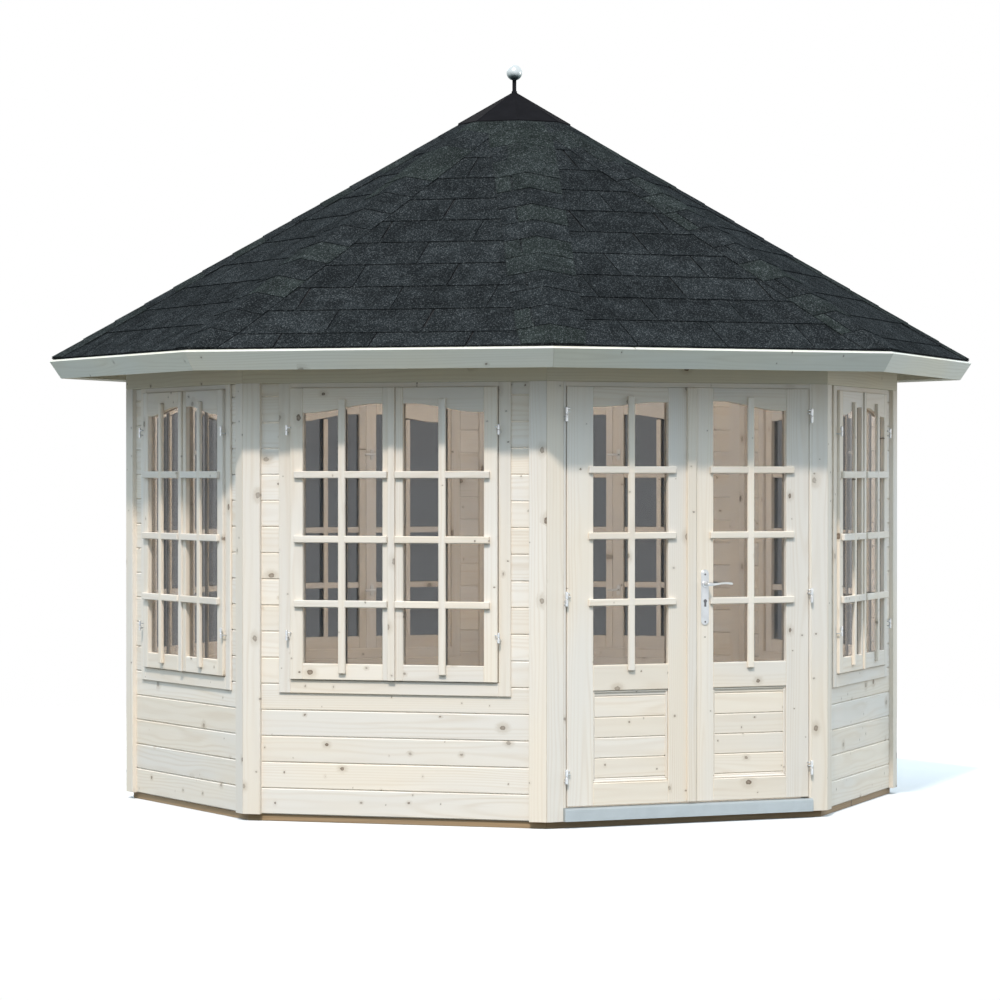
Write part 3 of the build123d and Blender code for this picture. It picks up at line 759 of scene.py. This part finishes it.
# Hip rafters: inside the ring beam and as tails outside it, with the hub under the peak
RAFTER_HALF = 0.0225
HUB_R, HUB_H = 0.060, 0.26
rafters = Part(16)
drop = RAFTER_HALF * math.sin(math.pi / 8) * SLOPE
lid = DECK_THICK / ROOF_COS + 0.0005
for n in range(8):
    for ends in ((0.0606 * HIP, 1.6295), (1.6845, 1.947)):
        pts = []
        for r in ends:
            top = deck(r) - lid
            edge, low, half = top - drop, top - FASCIA_DEEP, RAFTER_HALF
            for w, z in ((-half, edge), (0, top), (half, edge), (half, low), (-half, low)):
                pts.append(hip_point(n, r / HIP, w, z))
        rafters.add(0, pts, skin(5), "u")
hub_top = deck(0.068) - lid
pts = [hip_point(i + 0.5, HUB_R / HIP, 0, z) for z in (hub_top - HUB_H, hub_top) for i in range(8)]
rafters.add(0, pts, skin(8), "z")
rafters.make("rafters", "house", wood_boards, ["hip_rafters"])

# Roof covering: single shingles on a felt
def roof_point(u, s, h):
    """(u, a, z) of a point s up the slope from the eave and h off the boards."""
    return (u, *off_slope(-s, h))


def clip(poly, keep):
    """Cuts a polygon to where keep(point) >= 0; keep is linear."""
    result = []
    for i, p in enumerate(poly):
        q = poly[(i + 1) % len(poly)]
        kp, kq = keep(p), keep(q)
        if kp >= 0:
            result.append(p)
        if kp * kq < 0:
            t = kp / (kp - kq)
            result.append((p[0] + (q[0] - p[0]) * t, p[1] + (q[1] - p[1]) * t))
    return result


TAB_WIDE, TAB_GAP, TAB_THICK, TAB_LAP = 0.434, 0.0035, 0.0045, 0.045
TOP_S = (EAVE_A - 0.200) / ROOF_COS


def tab(part, n, poly, s_low, length, tone):
    """One shingle tab: a thin sheet that lies up on the course below it."""
    pts = []
    for lift in (0.0, TAB_THICK):
        for u, s in poly:
            h = 0.0052 - 0.0047 * min(1.0, max(0.0, (s - s_low) / length))
            pts.append(roof_point(u, s, h + lift))
    part.add(n, pts, skin(len(poly)), "u", tone=tone)


tiles = Part(17)
for n in range(8):
    rng = random.Random(500 + n)
    # the courses of neighbouring slopes don't meet at the hips
    second, show = (0.133, 0.200) if n % 2 else (0.233, 0.1975)
    lines = [0.0155] + [second + show * k for k in range(12)]
    for row, s0 in enumerate(lines[:-1]):
        if s0 > TOP_S:
            break
        s1 = lines[row + 1] + TAB_LAP
        first = (-0.228 if row % 2 else 0.007) - TAB_WIDE * 3
        for i in range(7):
            u0 = first + i * TAB_WIDE + TAB_GAP + rng.uniform(-0.003, 0.003)
            u1 = first + (i + 1) * TAB_WIDE - TAB_GAP
            poly = [(u0, s0), (u1, s0), (u1, s1), (u0, s1)]
            for sign in (-1, 1):
                poly = clip(poly, lambda p: (EAVE_A - p[1] * ROOF_COS) * T - sign * p[0] - 0.002)
            if len(poly) > 2:
                tab(tiles, n, poly, s0, s1 - s0, rng.random() * 0.75)
tiles.make("shingle_courses", "house", shingle, ["roof_covering"])

# the felt's near-black colour is partly painted shade where it shows in the tab slots
felt = Part(18)
for n in range(8):
    pts = []
    low, high = 0.0165, EAVE_A / ROOF_COS - 0.03
    for h in (0.0003, 0.0010):
        for s, side in ((low, -1), (low, 1), (high, 1), (high, -1)):
            pts.append(roof_point(side * (EAVE_A - s * ROOF_COS) * T, s, h))
    felt.add(n, pts, skin(4))
felt.make("roof_underlay", "house", underlay)

# Hip shingles: bent over each hip, every second one slotted on its left wing
LEFT_WING, RIGHT_WING, SLOT = 0.146, 0.152, 0.072
HIP_LEN = math.sqrt((EAVE_A / HIP) ** 2 + (EAVE_A * SLOPE) ** 2)
HIP_ANGLE = math.atan2(1, ROOF_COS * T)
caps = Part(19)


def hip_wing(wall, side, width, l, h):
    """A point square off the hip; side is +1 where the hip is at the wall's right end."""
    share = l / HIP_LEN
    half = EAVE_A * (1 - share) * T
    s = max(EAVE_A / ROOF_COS * share - width * math.cos(HIP_ANGLE), 0.0160)
    return Vector(world(wall, *roof_point(side * (half - width * math.sin(HIP_ANGLE)), s, h)))


def hip_sheet(n, l0, l1, places, tone):
    """A thin bent sheet; places are distances from the hip, negative on the left wall."""
    k = len(places)
    low = 0.0104 if l0 < 1.75 else 0.0080
    pts = []
    for thick in (0.0, 0.0030):
        for l, h in ((l0, low + thick), (l1, 0.0068 + thick)):
            for w in places:
                if w < 0:
                    p = hip_wing(n, 1, -w, l, h)
                elif w > 0:
                    p = hip_wing(n + 1, -1, w, l, h)
                else:
                    p = (hip_wing(n, 1, 0, l, h) + hip_wing(n + 1, -1, 0, l, h)) / 2
                    p.z += 0.0010
                pts.append((p.x, -p.y, p.z))
    faces = []
    for i in range(k - 1):
        for q in (0, 2 * k):
            faces.append([q + i, q + i + 1, q + k + i + 1, q + k + i])
        for q in (0, k):
            faces.append([q + i, q + i + 1, 2 * k + q + i + 1, 2 * k + q + i])
    for i in (0, k - 1):
        faces.append([i, k + i, 3 * k + i, 2 * k + i])
    caps.add(0, pts, faces, "u", tone=tone)


def cap_tone(rng):
    return rng.uniform(0.86, 1.0) if rng.random() < 0.5 else rng.uniform(0.25, 0.65)


for n in range(8):
    rng = random.Random(600 + n)
    l = 0.020
    stop = HIP_LEN * (1 - 0.185 / EAVE_A)
    row = 0
    while l < stop - 0.02:
        show = (0.172 if row < 2 else 0.160) + rng.uniform(-0.006, 0.006)
        l1 = min(l + show + 0.035, stop)
        right = RIGHT_WING + rng.uniform(-0.002, 0.002)
        left = -LEFT_WING + rng.uniform(-0.002, 0.002)
        if row % 2:
            hip_sheet(n, l, l1, [-SLOT + 0.004, 0, right], cap_tone(rng))
            hip_sheet(n, l, l1, [left, -SLOT - 0.004], cap_tone(rng))
        else:
            hip_sheet(n, l, l1, [left, 0, right], cap_tone(rng))
        l += show
        row += 1
caps.make("hip_shingles", "house", shingle)

# Sheet cap: eight folded sides with a turned-down rim, and a seam on each hip
CAP_A, CAP_TIP = 0.2455, 0.0080
CAP_UP, CAP_UNDER = 0.0155 / ROOF_COS, 0.0140 / ROOF_COS
hood = Part(20)
for n in range(8):
    rim, rim_top, fold = deck(CAP_A) + 0.0060, deck(CAP_A) + CAP_UP, CAP_A - 0.0012
    hood.hip_bar(n, [
        (fold, rim), (CAP_A, rim), (CAP_A, rim_top - 0.0012), (CAP_A - 0.002, rim_top),
        (CAP_TIP, deck(CAP_TIP) + CAP_UP), (CAP_TIP, deck(CAP_TIP) + CAP_UNDER),
        (fold, deck(CAP_A) + CAP_UNDER),
    ], gap=0.0)
for n in range(8):
    seam = []
    for r in (0.0085, CAP_A - 0.0005):
        for w, lift in ((-0.003, -0.0012), (0, 0.0012), (0.003, -0.0012)):
            seam.append(hip_point(n, r / HIP, w, deck(r) + CAP_UP + lift))
    hood.add(0, seam, skin(3), "u")
hood.make("cap_hood", "house", cap_sheet, ["roof_cap"])

# Finial: ball and rod
PEAK = deck(0)
BALL_Z, BALL_R = PEAK + 0.107, 0.037


def ball(name):
    """Polished ball with a duller underside, where a dark reflection of the ground is painted into
    its colour.
    """
    net = Net(name)
    pos = net.node("TexCoord").outputs["Object"]
    high = net.node("SeparateXYZ", Vector=pos).outputs[2]
    # a ragged band of painted dark reflection over the lower part of the ball, lighter and smoother
    # above
    ragged = net.math("MULTIPLY_ADD", net.noise(pos, 60.0, 3.0), 0.016, high)
    above_dark_reflection = net.step(ragged, BALL_Z - 0.016, BALL_Z + 0.016)
    net.set(Base_Color=net.mix(above_dark_reflection, (0.13, 0.18, 0.18), (0.72, 0.79, 0.81)), Metallic=0.85)
    net.set(Roughness=net.math("MULTIPLY_ADD", above_dark_reflection, -0.20, 0.45))
    return net.mat


globe = Part(22)
arc = [math.pi * i / 24 for i in range(25)]
arc = [(max(BALL_R * math.sin(g), 0.0006), BALL_Z - BALL_R * math.cos(g)) for g in arc]
globe.turn(0, (0, 0), "z", arc, 32)
globe.make("finial_ball", "house", ball("ball_metal_painted_reflection"), ["finial"])
rod = Part(23)
rod.turn(0, (0, 0), "z", [
    (0.0130, PEAK - 0.02), (0.0130, PEAK + 0.018), (0.0095, PEAK + 0.022), (0.0095, PEAK + 0.074),
], 32)
rod.make("finial_rod", "house", black_rod)

# Doors
JAMB = POST_EDGE - 0.0115
door_frame = Part(21)
edge, foot, head = POST_EDGE - 0.0003, BASE + 0.0573, POST_TOP - 0.0003
deep, stop = (FRAME_BACK, POST_FACE), (FRAME_BACK, 1.642)
for side in (-1, 1):
    door_frame.board(0, (side * JAMB, side * edge), deep, (foot, head), "z")
    door_frame.board(0, (side * (JAMB - 0.020), side * JAMB), stop, (foot, head - 0.016), "z")
door_frame.board(0, (-JAMB, JAMB), deep, (head - 0.0200, head), "u")
door_frame.board(0, (-JAMB + 0.02, JAMB - 0.02), stop, (head - 0.0357, head - 0.016), "u")
door_frame.make("door_casing", "house", wood_frames, ["door_frame"])

DOOR_Z = (BASE + 0.063, BASE + 1.860)
DOOR_PANE = BASE + 0.665
DOOR_ARCHES = ((BASE + 1.773, BASE + 1.795), (BASE + 1.762, BASE + 1.802))
DOOR_BAR_LEVELS = (0.934, 1.2195, 1.503)
LEAF_U = JAMB - 0.005
PANEL = (BASE + 0.159, BASE + 0.555)
PANEL_A, BEAD_A, BEAD = (1.658, 1.676), (1.674, 1.682), 0.010
PANEL_JOINTS = (0.020, 0.106, 0.193, 0.281, 0.371)


def leaf(side, place, u_free, panes, arch, strip=None):
    """One door leaf: the wood round its panes, the panel with its beads, the meeting strip."""
    part = Part(30 + side)
    rails = [(DOOR_Z[0], PANEL[0]), (PANEL[1], DOOR_PANE)]
    light(part, 0, side * LEAF_U, u_free, panes, DOOR_Z, rails, arch)
    # sunk panel of level boards with V joints
    lines = [PANEL[0] - 0.006, *(PANEL[0] + z for z in PANEL_JOINTS), PANEL[1] + 0.006]
    u0, u1 = sorted(panes)
    for z0, z1 in zip(lines, lines[1:]):
        outline = box_outline((u0 - 0.005, u1 + 0.005), (z0 + 0.0003, z1 - 0.0003))
        part.plank(0, outline, PANEL_A, "u", 0.0035)
    for z in ((PANEL[0], PANEL[0] + BEAD), (PANEL[1] - BEAD, PANEL[1])):
        part.board(0, (u0, u1), BEAD_A, z, "u", 0.004)
    for u in ((u0, u0 + BEAD), (u1 - BEAD, u1)):
        part.board(0, u, BEAD_A, (PANEL[0] + BEAD, PANEL[1] - BEAD), "z", 0.004)
    if strip:
        part.board(0, strip, (SASH_FACE - 0.001, SASH_FACE + 0.013), DOOR_Z, "z", 0.003)
    body, node = f"{place}_door", f"door_leaf_{place}"
    part.make(f"dressed_{place}", body, wood_frames, [node])


leaf(-1, "left", 0.027, (-0.474, -0.107), DOOR_ARCHES[0], (-0.017, 0.027))
leaf(1, "right", 0.033, (0.484, 0.117), DOOR_ARCHES[1])

for side, place, mid, ends in (
    (-1, "left", -0.293, (-0.499, -0.073)), (1, "right", 0.300, (0.098, 0.520)),
):
    bars = Part(50 + side)
    upright, a = (BASE + 0.639, BASE + 1.821), (SASH_FACE, SASH_FACE + 0.0130)
    bars.board(0, (mid - 0.0155, mid + 0.0155), a, upright, "z", 0.003)
    for z in DOOR_BAR_LEVELS:
        level = (BASE + z - 0.015, BASE + z + 0.015)
        bars.board(0, ends, (SASH_FACE, SASH_FACE + 0.0125), level, "u", 0.003)
    bars.make(f"door_bars_{place}", f"{place}_door", wood_frames)

# Hinges: slim barrels on pins that are screwed into the wood
HINGE_A = WALL_FACE + 0.034
SASH_BARREL, DOOR_BARREL = (0.0225, 0.0056), (0.0315, 0.0064)


def barrel(part, n, u, z, upper, size):
    """Half a hinge: a turned barrel with small rounded ends; size is (length, radius)."""
    length, r = size
    z0, z1 = (z + 0.0004, z + length) if upper else (z - length, z - 0.0004)
    profile = [(r * 0.55, z0), (r * 0.90, z0 + 0.0008), (r, z0 + 0.0025), (r, z1 - 0.0025)]
    profile += [(r * 0.90, z1 - 0.0008), (r * 0.55, z1)]
    part.turn(n, (u, HINGE_A), "z", profile)


def pin(part, n, u, z, face, r=0.0026):
    """A pin from the barrel's middle square into the wood behind that face."""
    profile = [(r, face - 0.003), (r, HINGE_A + 0.001), (r * 0.6, HINGE_A + 0.0025)]
    part.turn(n, (u, z), "a", profile, 12)


def link(part, n, u_from, u_to, z, r=0.0022):
    """A level arm from the barrel to the pin in the leaf or sash."""
    part.sweep(n, [(u_from, HINGE_A, z, r, r), (u_to, HINGE_A, z, r, r)], 12)


sash_hinges = Part(61)
for n in WINDOWS.values():
    for side in (-1, 1):
        u = side * 0.486
        for z in (BASE + 0.784, BASE + 1.676):
            barrel(sash_hinges, n, u, z, False, SASH_BARREL)
            barrel(sash_hinges, n, u, z, True, SASH_BARREL)
            pin(sash_hinges, n, u + side * 0.002, z - 0.011, CASING_FACE)
            pin(sash_hinges, n, side * 0.4700, z + 0.011, SASH_FACE)
            link(sash_hinges, n, *sorted((side * 0.4685, u)), z + 0.011)
sash_hinges.make("window_hinge_barrels", "house", steel, ["window_hinges"])

DOOR_HINGE_U = JAMB + 0.004
DOOR_HINGES = (DOOR_Z[0] + 0.129, DOOR_Z[0] + 0.888, DOOR_Z[1] - 0.119)
low_halves = Part(62)
for side in (-1, 1):
    for z in DOOR_HINGES:
        barrel(low_halves, 0, side * DOOR_HINGE_U, z, False, DOOR_BARREL)
        for rise in (-0.024, -0.010):
            pin(low_halves, 0, side * (DOOR_HINGE_U + 0.0025), z + rise, POST_FACE)
low_halves.make("hinge_low_halves", "house", steel, ["door_hinges_frame"])
for side, place in ((-1, "left"), (1, "right")):
    halves = Part(63 + side)
    for z in DOOR_HINGES:
        barrel(halves, 0, side * DOOR_HINGE_U, z, True, DOOR_BARREL)
        for rise in (0.010, 0.024):
            pin(halves, 0, side * (LEAF_U - 0.006), z + rise, SASH_FACE)
            link(halves, 0, *sorted((side * (LEAF_U - 0.0075), side * DOOR_HINGE_U)), z + rise)
    body, node = f"{place}_door", f"door_hinges_{place}"
    halves.make(f"hinge_halves_{place}", body, steel, [node])

# Lever, plates and catches
LEVER_U, LEVER_Z = 0.073, DOOR_Z[0] + 0.944
PLATE_HIGH, PLATE_LOW = LEVER_Z + 0.064, LEVER_Z - 0.178
PLATE_HALF, FIELD_HALF = 0.0195, 0.0145
KEY_Z, KEY_R = LEVER_Z - 0.074, 0.0085


def slot_outline(u, z0, z1, half, steps=10):
    """A long rounded outline, as (u, z)."""
    pts = []
    for centre, start in ((z1 - half, 0.0), (z0 + half, math.pi)):
        for i in range(steps + 1):
            g = start + math.pi * i / steps
            pts.append((u + half * math.cos(g), centre + half * math.sin(g)))
    return pts


plates = Part(65)
screws = Part(66)
ROSE = ((0.0150, 0.0), (0.0150, 0.0035), (0.0125, 0.0055), (0.0104, 0.0060))
SCREW = ((0.0042, 0.0), (0.0042, 0.0018), (0.0024, 0.0028), (0.0006, 0.0030))
for face, out in ((SASH_FACE + 0.0003, 1), (SASH_BACK - 0.0003, -1)):
    top = face + out * 0.004
    outline = slot_outline(LEVER_U, PLATE_LOW, PLATE_HIGH, PLATE_HALF)
    plates.plank(0, outline, (face, top), "z", 0.0016)
    field = slot_outline(LEVER_U, PLATE_LOW + 0.005, PLATE_HIGH - 0.005, FIELD_HALF)
    plates.plank(0, field, (top - out * 0.0005, top + out * 0.0012), "z", 0.0008)
    plates.turn(0, (LEVER_U, LEVER_Z), "a", [(r, top + out * t) for r, t in ROSE], 24)
    for z in (PLATE_HIGH - 0.022, PLATE_LOW + 0.014):
        screws.turn(0, (LEVER_U, z), "a", [(r, top + out * t) for r, t in SCREW], 12)
    # keyway for a profile cylinder: a thin dark piece whose colour is painted shade for the hole
    keyway = [(LEVER_U + 0.005, LEVER_Z - 0.098), (LEVER_U + 0.005, LEVER_Z - 0.082)]
    for i in range(11):
        g = math.radians(-50 + 280 * i / 10)
        keyway.append((LEVER_U + KEY_R * math.cos(g), KEY_Z + KEY_R * math.sin(g)))
    keyway += [(LEVER_U - 0.005, LEVER_Z - 0.082), (LEVER_U - 0.005, LEVER_Z - 0.098)]
    screws.plank(0, keyway, (top, top + out * 0.0020), "z", 0.0005)
plates.make("handle_plates", "right_door", steel, ["door_handle_plates"])
screws.make("plate_screws", "right_door", dark_screw_steel_keyway_shade)

# the grip as (u, z, half depth, half height) from the lever's axis
GRIP = (
    (-0.0085, 0.0000, 0.0030, 0.0040), (-0.0060, 0.0000, 0.0055, 0.0075),
    (0.0020, 0.0000, 0.0060, 0.0088), (0.0120, -0.0004, 0.0058, 0.0078),
    (0.0240, -0.0004, 0.0054, 0.0060), (0.0400, 0.0010, 0.0050, 0.0050),
    (0.0600, 0.0034, 0.0048, 0.0046), (0.0800, 0.0044, 0.0048, 0.0046),
    (0.0980, 0.0034, 0.0048, 0.0050), (0.1100, 0.0016, 0.0046, 0.0050),
    (0.1160, 0.0008, 0.0036, 0.0040), (0.1180, 0.0006, 0.0014, 0.0018),
)
lever = Part(67)
for near, arm in ((SASH_FACE + 0.0055, SASH_FACE + 0.041), (SASH_BACK - 0.0055, SASH_BACK - 0.041)):
    lever.sweep(0, [(LEVER_U + u, arm, LEVER_Z + z, deep, high) for u, z, deep, high in GRIP])
    throat = [(0.0090, near), (0.0086, (near + arm) / 2), (0.0080, arm)]
    lever.turn(0, (LEVER_U, LEVER_Z), "a", throat, 20)
spindle = [(0.0048, SASH_BACK - 0.010), (0.0048, SASH_FACE + 0.010)]
lever.turn(0, (LEVER_U, LEVER_Z), "a", spindle, 12)
lever.make("lever", "lever", steel, ["door_lever"])

CATCH_U = -0.021
CATCH_GRIP = (
    (-0.028, 0.0028), (-0.026, 0.0055), (-0.010, 0.0058),
    (0.012, 0.0050), (0.028, 0.0052), (0.030, 0.0026),
)
catches = Part(68)
for n in WINDOWS.values():
    back = SASH_BACK - 0.0003
    arm = back - 0.033
    for z in (SASH_Z[0] + 0.303, SASH_Z[0] + 0.993):
        outline = slot_outline(CATCH_U, z - 0.028, z + 0.028, 0.0088, 6)
        catches.plank(n, outline, (back - 0.006, back), "z", 0.0015)
        catches.turn(n, (CATCH_U, z), "a", [(0.0055, back - 0.005), (0.0050, arm)], 12)
        catches.sweep(n, [(u, arm, z, 0.0045, high) for u, high in CATCH_GRIP], 12)
catches.make("window_catches", "house", catch_metal, ["window_handles"])

# Floor, light and camera
def ground(radius=9.0, rings=24, spokes=64):
    """A round floor that fades out; it shows nearly white and gives back a weak bounce."""
    verts = [(0, 0, 0)]
    for j in range(1, rings + 1):
        for i in range(spokes):
            g = 2 * math.pi * i / spokes
            r = radius * j / rings
            verts.append((r * math.cos(g), r * math.sin(g), 0))
    faces = []
    for i in range(spokes):
        q = (i + 1) % spokes
        faces.append([0, 1 + i, 1 + q])
        for b in range(1, 1 + (rings - 1) * spokes, spokes):
            faces.append([b + i, b + spokes + i, b + spokes + q, b + q])
    mesh = bpy.data.meshes.new("studio_floor")
    mesh.from_pydata(verts, [], faces)
    fix_normals(mesh)
    obj = bpy.data.objects.new("studio_floor", mesh)
    bpy.context.scene.collection.objects.link(obj)
    net = Net("studio_floor")
    pos = net.node("TexCoord").outputs["Object"]
    far = net.node("VectorMath", {"operation": "LENGTH"}, i0=pos).outputs["Value"]
    fade = net.step(far, 2.4, 8.0, 1.0, 0.0)
    grain = net.noise(pos, 3.0, 3.0)
    seen = net.mix(grain, (0.80, 0.80, 0.80), (0.83, 0.83, 0.83))
    bounce = (0.098, 0.098, 0.072)
    net.set(Base_Color=net.mix(net.shown_ray(), bounce, seen), Roughness=0.85, Alpha=fade)
    net.set(Specular_IOR_Level=0.1)
    mesh.materials.append(net.mat)


ground()

scene = bpy.context.scene
scene.view_settings.view_transform = "Standard"
sky = bpy.data.worlds.new("studio")
scene.world = sky
sky.use_nodes = True
net = Graph(sky.node_tree)
# the light is stronger from above than from the horizon
up = net.node("SeparateXYZ", Vector=net.node("TexCoord").outputs["Generated"]).outputs[2]
level = net.node("MapRange", Value=up, i1=0.0, i2=0.60, i3=0.30, i4=1.46).outputs[0]
lit = net.node("Background", Color=(0.82, 1.0, 1.15), Strength=level).outputs[0]
seen = net.node("Background", Color=(1.0, 1.0, 1.0), Strength=1.0).outputs[0]
mixed = net.node("MixShader", i0=net.shown_ray(), i1=lit, i2=seen).outputs[0]
net.node("OutputWorld", Surface=mixed)


def lamp(name, kind, power, colour):
    data = bpy.data.lights.new(name, kind)
    data.energy = power
    data.color = colour
    obj = bpy.data.objects.new(name, data)
    scene.collection.objects.link(obj)
    return data, obj


def aim(obj, way):
    """Points a lamp along the vector."""
    obj.rotation_euler = Vector(way).to_track_quat("-Z", "Y").to_euler()


sun, sun_obj = lamp("sun", "SUN", 2.32, (1.10, 1.0, 0.90))
sun.angle = math.radians(3.4)
aim(sun_obj, (7.5, 10.1, -15.5))
for name, place, size, power, colour in (
    ("side", (12.0, -3.5, 2.4), 5.0, 190, (1.02, 1.0, 0.96)),
    ("back", (2.0, 13.0, 9.0), 6.0, 320, (1.0, 1.0, 1.0)),
):
    disk, disk_obj = lamp(name, "AREA", power, colour)
    disk.shape = "DISK"
    disk.size = size
    disk_obj.location = place
    aim(disk_obj, Vector((0, 0, 1.2)) - Vector(place))
for height in (0.9, 2.0):
    # lamps inside the house
    glow, glow_obj = lamp("room", "POINT", 41, (0.97, 1.0, 1.05))
    glow.shadow_soft_size = 0.30
    glow_obj.location = (0, 0, height)
    glow_obj.visible_camera = False
    glow_obj.visible_glossy = False

cam = bpy.data.cameras.new("photo_camera")
cam.sensor_width = 36.0
cam.lens = 143.64
cam.clip_end = 200.0
cam_obj = bpy.data.objects.new("photo_camera", cam)
cam_obj.location = (-8.497, -16.782, 1.510)
cam_obj.rotation_euler = (math.radians(90 - 0.356), 0, -0.4651)
scene.collection.objects.link(cam_obj)
scene.camera = cam_obj
